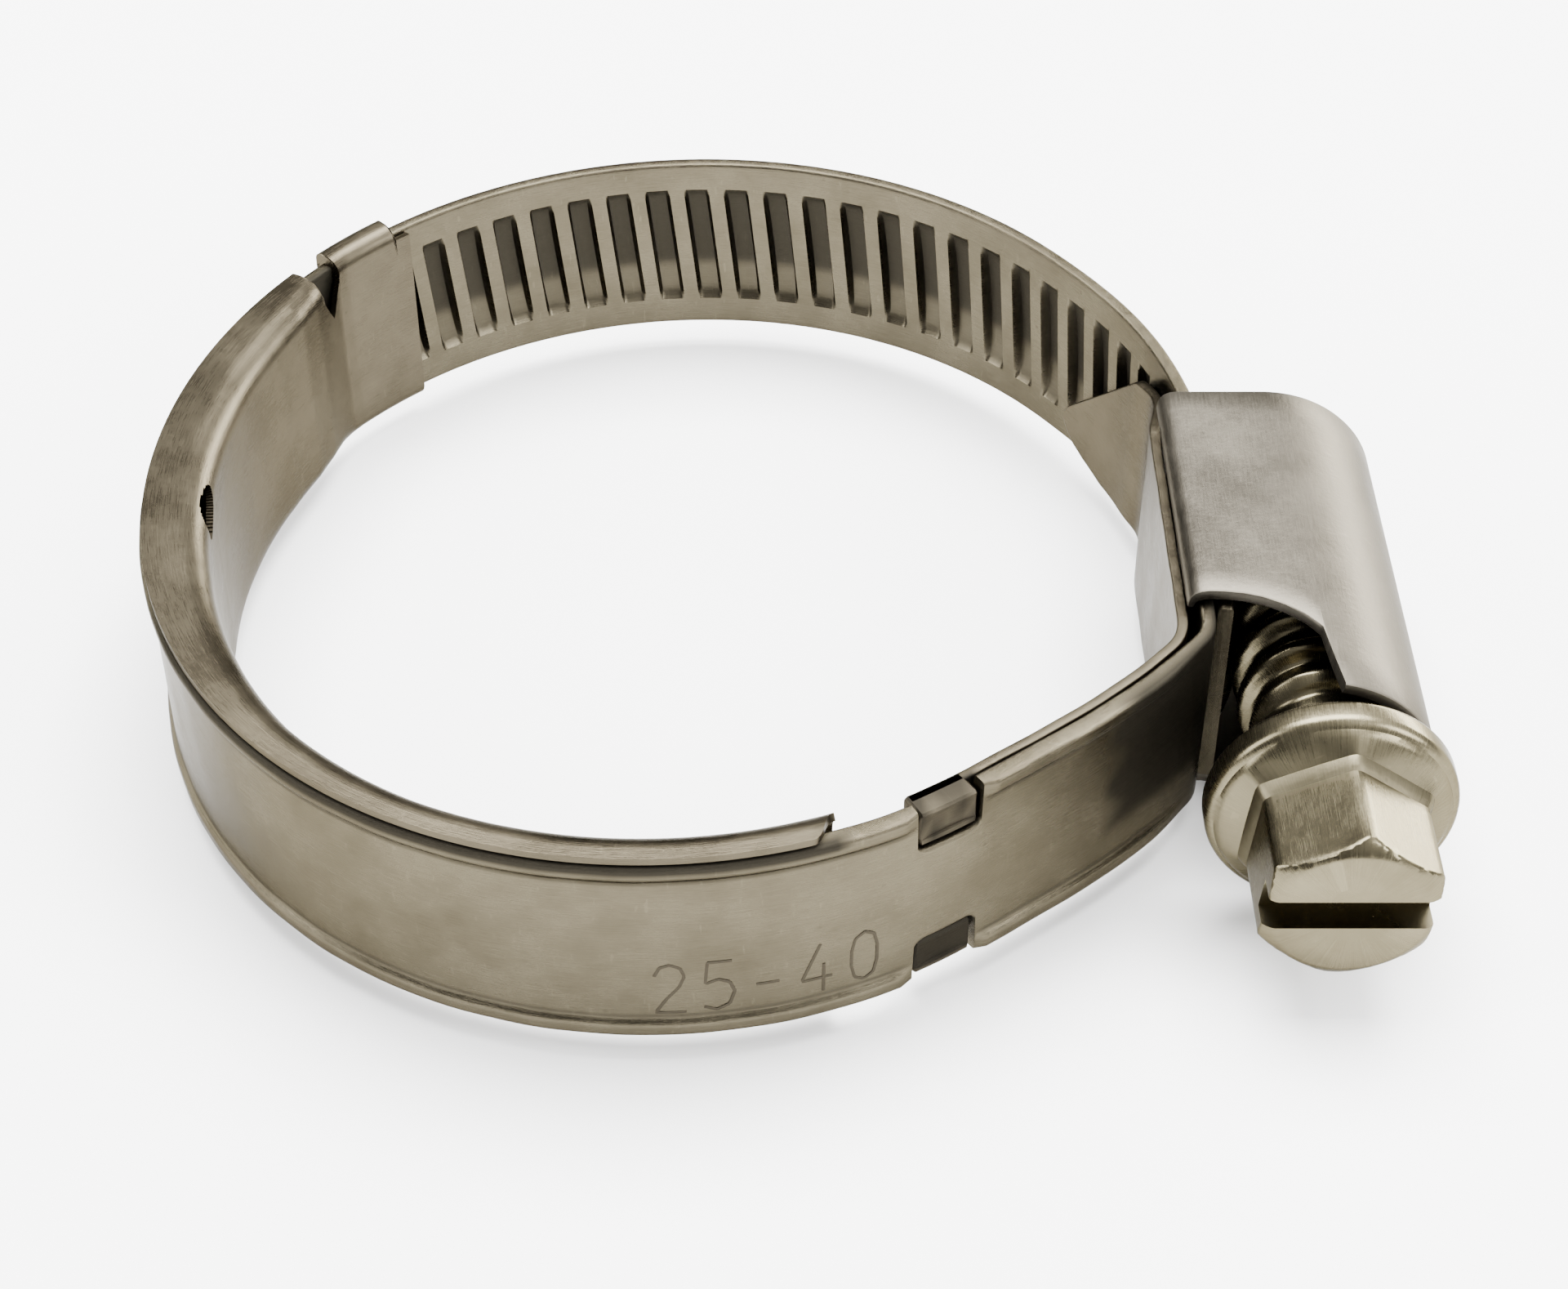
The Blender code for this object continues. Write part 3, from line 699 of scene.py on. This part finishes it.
def cut(obj, cutter):
    """Takes the cutter's shape out of the object, for good, and removes the cutter."""
    boolean = obj.modifiers.new("cut", "BOOLEAN")
    boolean.operation = "DIFFERENCE"
    boolean.object = cutter
    graph = bpy.context.evaluated_depsgraph_get()
    result = bpy.data.meshes.new_from_object(
        obj.evaluated_get(graph), preserve_all_data_layers=True, depsgraph=graph
    )
    obj.modifiers.clear()
    while len(result.materials) > 1:
        result.materials.pop()
    obj.data = result
    bpy.data.objects.remove(cutter)


def sheet_loop(line, thick):
    """Closed loop round a sheet's middle line, from points (offset, z)."""
    line = np.array(line)
    along = np.gradient(line, axis=0)
    along /= np.linalg.norm(along, axis=1)[:, None]
    side = np.stack([-along[:, 1], along[:, 0]], 1) * thick / 2
    return np.concatenate([line + side, (line - side)[::-1]])


def liner_line(inset, top_end, folded, bite):
    """Middle line of the channel's section: lower flange, wall, upper flange and its folded-over edge.

    top_end and folded say how much of the flange and of the fold there is, and bite how far it is cut back.
    """
    wall = -(inset - LINER_THICK / 2)
    radius = min(LINER_BEND_RADIUS, -wall - 0.25)
    low = -LINER_CLEARANCE - LINER_THICK / 2
    high = BAND_WIDTH + LINER_CLEARANCE + LINER_THICK / 2
    bend = np.linspace(0, math.pi / 2, 9)[1:]
    line = [(-0.4, low), (wall + radius, low)]
    for t in bend:
        line.append((wall + radius - radius * math.sin(t), low + radius - radius * math.cos(t)))
    line.append((wall, high - radius))
    for t in bend:
        line.append((wall + radius - radius * math.cos(t), high - radius + radius * math.sin(t)))
    out, fold = 0.06, 0.24
    line.append((out, high))
    for t in np.linspace(0, math.pi / 2, 7)[1:]:
        line.append((out + fold * math.sin(t), high - fold * (1 - math.cos(t))))
    line.append((out + fold, high - TAB_REACH))
    line = np.array(line)
    lengths = np.concatenate([[0.0], np.cumsum(np.linalg.norm(np.diff(line, axis=0), axis=1))])
    wall_foot, wall_top, flange_end = lengths[9], lengths[11], lengths[19]
    fine_from = wall_top - 2.6
    end = wall_top + (flange_end - wall_top) * top_end + (lengths[-1] - flange_end) * folded - bite
    wanted = np.concatenate(
        [
            np.linspace(0, wall_foot, 12),
            np.linspace(wall_foot, fine_from, 10)[1:],
            np.linspace(fine_from, end, 84)[1:],
        ]
    )
    return np.stack([np.interp(wanted, lengths, line[:, i]) for i in (0, 1)], 1)


def make_liner(material):
    path = Path([ring_point(a) for a in np.linspace(LINER_START_ANGLE, LINER_END_ANGLE, 600)], -1)

    def s_at(angle):
        return path.nearest(ring_point(angle * DEG))

    def inset_at(s):
        return np.interp(s, inset_places, [inset for _, inset in LINER_INSETS])

    tab_start, tab_end, flange_start = s_at(TAB_START), s_at(TAB_END), s_at(FLANGE_START)
    hole_at = s_at(HOLE_ANGLE)
    inset_places = [s_at(angle) for angle, _ in LINER_INSETS]
    edge = LINER_EDGE
    breaks = []
    for s in (tab_start, tab_end, flange_start):
        breaks += [s - edge, s - edge / 2, s, s + edge / 2, s + edge]
    around_hole = hole_at + np.linspace(-1.5, 1.5, 70)
    stations = np.unique(np.concatenate([np.linspace(0, path.length, 330), breaks, around_hole]))
    rows, flows = [], []
    for s in stations:
        in_tab = smooth(tab_start - edge, tab_start, s) * smooth(tab_end + edge, tab_end, s)
        top = in_tab + smooth(flange_start - edge, flange_start + edge, s)
        taper = smooth(path.length, path.length - 1.2, s)
        bite = FLANGE_BITE * max(1 - abs(s - (tab_end + flange_start) / 2) / 0.95, 0.0)
        line = liner_line(inset_at(s), min(top, 1.0) * (0.35 + 0.65 * taper), in_tab, bite)
        outward = path.outward(s)
        here = path.at(s)
        row, flow = [], []
        for offset, z in sheet_loop(line, LINER_THICK):
            x, y = here + offset * outward
            row.append((x, y, z))
            flow.append((s, z + offset, 0.0))
        rows.append(row)
        flows.append(flow)

    def in_hole(i, j):
        """True where a quad lies in the teardrop hole, at the upper bend and on the wall just below it."""
        along = (stations[i] - hole_at) / HOLE_HALF_LENGTH
        if not 0 <= j < len(rows[0]) // 2 or abs(along) >= 1:
            return False
        x, y, z = rows[i][j]
        depth = -np.dot(np.array([x, y]) - path.at(stations[i]), path.outward(stations[i]))
        down = depth + BAND_WIDTH + LINER_CLEARANCE - z - inset_at(stations[i])
        if z < BAND_WIDTH - 3:
            return False
        half_width = HOLE_HALF_WIDTH * math.sqrt(1 - along**2) * (1 + 0.4 * along)
        return abs(down - 0.45 - 0.3 * along) < half_width

    return skin("liner_channel", rows, flows, material, in_hole=in_hole)


# Size marking: strokes as (along, up) in a cell 1.3 mm wide and 2.6 mm high
GLYPHS = {
    "2": [
        [(0.05, 2.0), (0.25, 2.45), (0.65, 2.6), (1.05, 2.4), (1.2, 1.95)]
        + [(1.0, 1.4), (0.5, 0.75), (0.05, 0.0), (1.25, 0.0)]
    ],
    "5": [
        [(1.15, 2.6), (0.2, 2.6), (0.1, 1.45), (0.6, 1.65), (1.05, 1.45)]
        + [(1.25, 0.9), (1.05, 0.25), (0.55, 0.0), (0.05, 0.2)]
    ],
    "-": [[(0.1, 1.1), (1.0, 1.1)]],
    "4": [[(0.75, 2.6), (0.0, 0.75), (1.25, 0.75)], [(0.9, 1.5), (0.9, 0.0)]],
    "0": [
        [(0.6, 2.6), (0.2, 2.35), (0.05, 1.7), (0.05, 0.9), (0.2, 0.25), (0.6, 0.0)]
        + [(1.0, 0.25), (1.15, 0.9), (1.15, 1.7), (1.0, 2.35), (0.6, 2.6)]
    ],
}
# Each character and where it starts, as a length along the band from the hinge
MARKING = (("2", 31.8), ("5", 33.6), ("-", 35.5), ("4", 37.3), ("0", 39.2))
MARK_HALF_WIDTH = 0.075
MARK_HEIGHT_ON_BAND = 1.15


def make_marking(path, material):
    """The size marking. Each stroke stands 0.03 mm out of the outer face and is darkened with painted
    shade, so that it reads as pressed in.
    """
    from_hinge = path.nearest(ring_point(HINGE_ANGLE, -HALF))
    made = []
    stroke = MARK_HALF_WIDTH
    for index, (glyph, s_left) in enumerate(MARKING):
        for part, line in enumerate(GLYPHS[glyph]):
            line = np.array(line, float) * (0.95, 1.0) + (s_left + from_hinge, MARK_HEIGHT_ON_BAND)
            lengths = np.concatenate([[0], np.cumsum(np.linalg.norm(np.diff(line, axis=0), axis=1))])
            fine = np.linspace(0, lengths[-1], max(3, int(lengths[-1] / 0.12)))
            line = np.stack([np.interp(fine, lengths, line[:, i]) for i in (0, 1)], 1)
            along = np.gradient(line, axis=0)
            along /= np.linalg.norm(along, axis=1)[:, None]
            rows, flows = [], []
            for (s, z), (ds, dz) in zip(line, along):
                row, flow = [], []
                for side, lift in ((-1, -0.1), (-0.8, 0.018), (0, 0.03), (0.8, 0.018), (1, -0.1)):
                    here, level = s - dz * side * stroke, z + ds * side * stroke
                    x, y = path.at(here) + (HALF + lift) * path.outward(here)
                    row.append((x, y, level))
                    flow.append((here, level, 0.3))
                rows.append(row)
                flows.append(flow)
            made.append(skin(f"size_mark_{index}_{part}", rows, flows, material))
    return made


# ---------------------------------------------------------------- materials


# Near-black colour that painted shade darkens the metals towards
PAINTED_SHADE_COLOUR = (0.012, 0.011, 0.009)
EDGE_TINT = (0.52, 0.51, 0.49, 1.0)


def metal(name, dark, light, rough, grain, grit, wear=0.5):
    """Brushed steel: grain along the strip, blotches of dulling, fine pits, scuffs, and painted shade that
    darkens it towards near-black where the flow attribute's third value is high.
    """
    mat = bpy.data.materials.new(name)
    mat.use_nodes = True
    nodes, links = mat.node_tree.nodes, mat.node_tree.links
    nodes.clear()

    def node(kind, inputs=None, **settings):
        made = nodes.new(kind)
        for key, value in settings.items():
            setattr(made, key, value)
        for key, value in (inputs or {}).items():
            if isinstance(value, bpy.types.NodeSocket):
                links.new(value, made.inputs[key])
            else:
                made.inputs[key].default_value = value
        return made

    def noise(where, scale, detail, roughness):
        inputs = {"Vector": where, "Scale": scale, "Detail": detail, "Roughness": roughness}
        return node("ShaderNodeTexNoise", inputs).outputs[0]

    def ramp(value, low, high, out_low, out_high):
        return node("ShaderNodeMapRange", {0: value, 1: low, 2: high, 3: out_low, 4: out_high}).outputs[0]

    def mix(factor, a, b):
        made = node("ShaderNodeMix", data_type="RGBA")
        for key, value in ((0, factor), (6, a), (7, b)):
            if isinstance(value, bpy.types.NodeSocket):
                links.new(value, made.inputs[key])
            else:
                made.inputs[key].default_value = value if key == 0 else (*value, 1)
        return made.outputs[2]

    def math_node(operation, a, b):
        return node("ShaderNodeMath", {0: a, 1: b}, operation=operation).outputs[0]

    flow = node("ShaderNodeAttribute", attribute_name="flow").outputs["Vector"]
    place = node("ShaderNodeTexCoord").outputs["Object"]
    stretch = node("ShaderNodeMapping", {"Vector": flow, "Scale": (0.35, 9.0, 0.0)}).outputs[0]
    lines = noise(stretch, 2.2, 6.0, 0.7)
    blotch = noise(place, 260.0, 5.0, 0.6)
    fine = noise(place, 3600.0, 3.0, 0.65)
    speck = node("ShaderNodeTexVoronoi", {"Vector": place, "Scale": 900.0}).outputs["Distance"]
    slant = {"Vector": flow, "Scale": (0.5, 0.09, 0.0), "Rotation": (0, 0, 0.5)}
    scratch = noise(node("ShaderNodeMapping", slant).outputs[0], 11.0, 2.0, 0.5)
    # Third value of flow: painted shade, set piece by piece
    painted_shade_mask = node("ShaderNodeSeparateXYZ", {0: flow}).outputs[2]

    tone = math_node("ADD", ramp(blotch, 0.3, 0.7, 0.0, 0.6), ramp(lines, 0.3, 0.7, 0.0, 0.4))
    colour = mix(tone, dark, light)
    pits = ramp(speck, 0.0, 0.11, 1.0, 0.0)
    pits = math_node("MULTIPLY", pits, ramp(blotch, 0.52, 0.6, 0.0, wear))
    colour = mix(pits, colour, tuple(0.3 * c for c in dark))
    colour = mix(ramp(scratch, 0.66, 0.7, 0.0, 0.25), colour, tuple(min(1.25 * c, 1) for c in light))
    # Painted shade: darkens the colour towards near-black by the flow attribute's third value
    colour = mix(math_node("MULTIPLY", painted_shade_mask, 0.94), colour, PAINTED_SHADE_COLOUR)
    dulling = ramp(blotch, 0.25, 0.75, rough - 0.07, rough + 0.08)
    gloss = math_node("ADD", dulling, ramp(lines, 0.3, 0.7, -0.05, 0.07))
    gloss = math_node("ADD", gloss, math_node("MULTIPLY", painted_shade_mask, 0.35))
    height = math_node("ADD", math_node("MULTIPLY", lines, grain), math_node("MULTIPLY", fine, grit))
    height = math_node("SUBTRACT", height, math_node("MULTIPLY", pits, 0.8 * wear))
    bump = node("ShaderNodeBump", {"Height": height, "Strength": 0.55, "Distance": 0.00003})
    surface = {
        "Base Color": colour,
        "Roughness": gloss,
        "Normal": bump.outputs[0],
        "Metallic": 1.0,
        "Specular Tint": EDGE_TINT,
    }
    shader = node("ShaderNodeBsdfPrincipled", surface)
    node("ShaderNodeOutputMaterial", {0: shader.outputs[0]})
    return mat


strip_steel = metal(
    "strip_steel_worn", (0.042, 0.036, 0.0235), (0.091, 0.079, 0.054), rough=0.23, grain=0.7, grit=0.3
)
spring_steel = metal(
    "spring_steel_worn", (0.037, 0.031, 0.021), (0.08, 0.0685, 0.047), rough=0.28, grain=0.5, grit=0.3
)
shell_steel = metal(
    "shell_steel_satin",
    (0.058, 0.052, 0.0415),
    (0.106, 0.096, 0.077),
    rough=0.4,
    grain=0.25,
    grit=0.6,
    wear=0.9,
)
zinc_plate = metal(
    "zinc_plate_screw", (0.07, 0.06, 0.036), (0.14, 0.123, 0.079), rough=0.25, grain=0.2, grit=0.35
)
# Darker than the strip: painted shade that makes the raised strokes read as pressed in
mark_steel = metal(
    "strip_steel_marking", (0.04, 0.034, 0.024), (0.065, 0.056, 0.04), rough=0.4, grain=0.4, grit=0.4
)

plain = plain_path()
threaded = threaded_path()
saddle = saddle_path(plain, threaded)

front_band = make_fixed_length(plain, strip_steel)
tail_band = make_threaded_length(threaded, strip_steel)
saddle_body = make_saddle(saddle, spring_steel)
lugs = [
    make_lug("lower", plain, 0.12, 1.85, HALF - 0.12, spring_steel),
    make_lug("upper", plain, BAND_WIDTH - NOTCH_DEPTH + 0.18, BAND_WIDTH - 0.3, HALF - 0.1, spring_steel),
]
shell = make_shell(shell_steel)
screw = make_screw(zinc_plate)
liner = make_liner(spring_steel)
marks = make_marking(plain, mark_steel)

# The ring opens about its hinge. The fixed length and the liner are baked where they are and attached to no
# body
for piece in [front_band, liner]:
    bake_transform(piece)
for piece in [saddle_body, shell, *lugs, *marks]:
    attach(piece, "clamp_body")
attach(tail_band, "threaded_half")
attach(screw, "screw")

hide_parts("band_plain_length")
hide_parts("band_threaded_length")
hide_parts("saddle_bridge")
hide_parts("housing_shell")
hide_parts("worm_screw")
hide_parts("spring_liner")


# ---------------------------------------------------------------- floor, light and camera


FLOOR_HALF_SIZE = 3.0
FLOOR_GAP = 0.0006
CAMERA_LENS = 67.41
CAMERA_TILT = 41.79 * DEG
CAMERA_PLACE = (4.44, -95.80, 84.47)

floor_mesh = bpy.data.meshes.new("floor")
corners = [(-1, -1), (1, -1), (1, 1), (-1, 1)]
floor_corners = [(x * FLOOR_HALF_SIZE, y * FLOOR_HALF_SIZE, 0.0) for x, y in corners]
floor_mesh.from_pydata(floor_corners, [], [(0, 1, 2, 3)])
floor = bpy.data.objects.new("floor", floor_mesh)
floor.location.z = -FLOOR_GAP
floor_mat = bpy.data.materials.new("paper_white")
floor_mat.use_nodes = True
floor_shader = floor_mat.node_tree.nodes["Principled BSDF"]
floor_shader.inputs["Base Color"].default_value = (0.93, 0.93, 0.93, 1)
floor_shader.inputs["Roughness"].default_value = 0.9
floor_mesh.materials.append(floor_mat)
bpy.context.scene.collection.objects.link(floor)

camera_data = bpy.data.cameras.new("camera")
camera_data.sensor_width = 36
camera_data.lens = CAMERA_LENS
camera_data.clip_start = 0.005
camera = bpy.data.objects.new("camera", camera_data)
camera.location = RING_CENTRE + Vector(CAMERA_PLACE) * MM
camera.rotation_euler = (math.pi / 2 - CAMERA_TILT, 0, 0)
bpy.context.scene.collection.objects.link(camera)
bpy.context.scene.camera = camera

world = bpy.data.worlds.new("studio")
bpy.context.scene.world = world
world.use_nodes = True
world_nodes, world_links = world.node_tree.nodes, world.node_tree.links
sky = world_nodes.new("ShaderNodeTexCoord")
split = world_nodes.new("ShaderNodeSeparateXYZ")
bands = world_nodes.new("ShaderNodeValToRGB")
# Grey studio surround: brighter towards the top, and brighter on the right than on the left
world_links.new(sky.outputs["Generated"], split.inputs[0])
world_links.new(split.outputs[2], bands.inputs[0])
sides = world_nodes.new("ShaderNodeValToRGB")
across = world_nodes.new("ShaderNodeMapRange")
across.inputs[1].default_value = -1
world_links.new(split.outputs[0], across.inputs[0])
world_links.new(across.outputs[0], sides.inputs[0])
product = world_nodes.new("ShaderNodeMix")
product.data_type = "RGBA"
product.blend_type = "MULTIPLY"
product.inputs[0].default_value = 1.0
world_links.new(bands.outputs[0], product.inputs[6])
world_links.new(sides.outputs[0], product.inputs[7])
world_links.new(product.outputs[2], world_nodes["Background"].inputs["Color"])
world_nodes["Background"].inputs["Strength"].default_value = 1.0


def grey_stops(ramp, stops):
    """Sets a colour ramp's stops from pairs of position and grey value."""
    for position, value in stops[1:-1]:
        ramp.elements.new(position)
    for element, (position, value) in zip(ramp.elements, stops):
        element.position = position
        element.color = (value, value, value, 1)


grey_stops(bands.color_ramp, ((0.0, 0.3), (0.15, 0.45), (0.35, 1.0), (0.6, 1.6), (1.0, 2.4)))
grey_stops(sides.color_ramp, ((0.0, 0.25), (0.3, 0.4), (0.52, 0.8), (0.7, 2.0), (1.0, 2.2)))


def softbox(name, place, aim, size, power):
    data = bpy.data.lights.new(name, "AREA")
    data.shape = "RECTANGLE"
    data.size, data.size_y = size
    data.energy = power
    lamp = bpy.data.objects.new(name, data)
    lamp.location = place
    lamp.rotation_euler = (Vector(aim) - Vector(place)).to_track_quat("-Z", "Y").to_euler()
    bpy.context.scene.collection.objects.link(lamp)


middle = (0.0, 0.0, 0.005)
softbox("light_above", (0.0, 0.2, 0.7), middle, (0.7, 0.5), 36)
softbox("light_back_right", (0.47, 0.52, 0.11), middle, (0.42, 0.18), 12)
softbox("light_left", (-0.55, -0.1, 0.3), middle, (0.3, 0.4), 5)
softbox("light_right", (0.5, -0.25, 0.3), middle, (0.25, 0.3), 5)
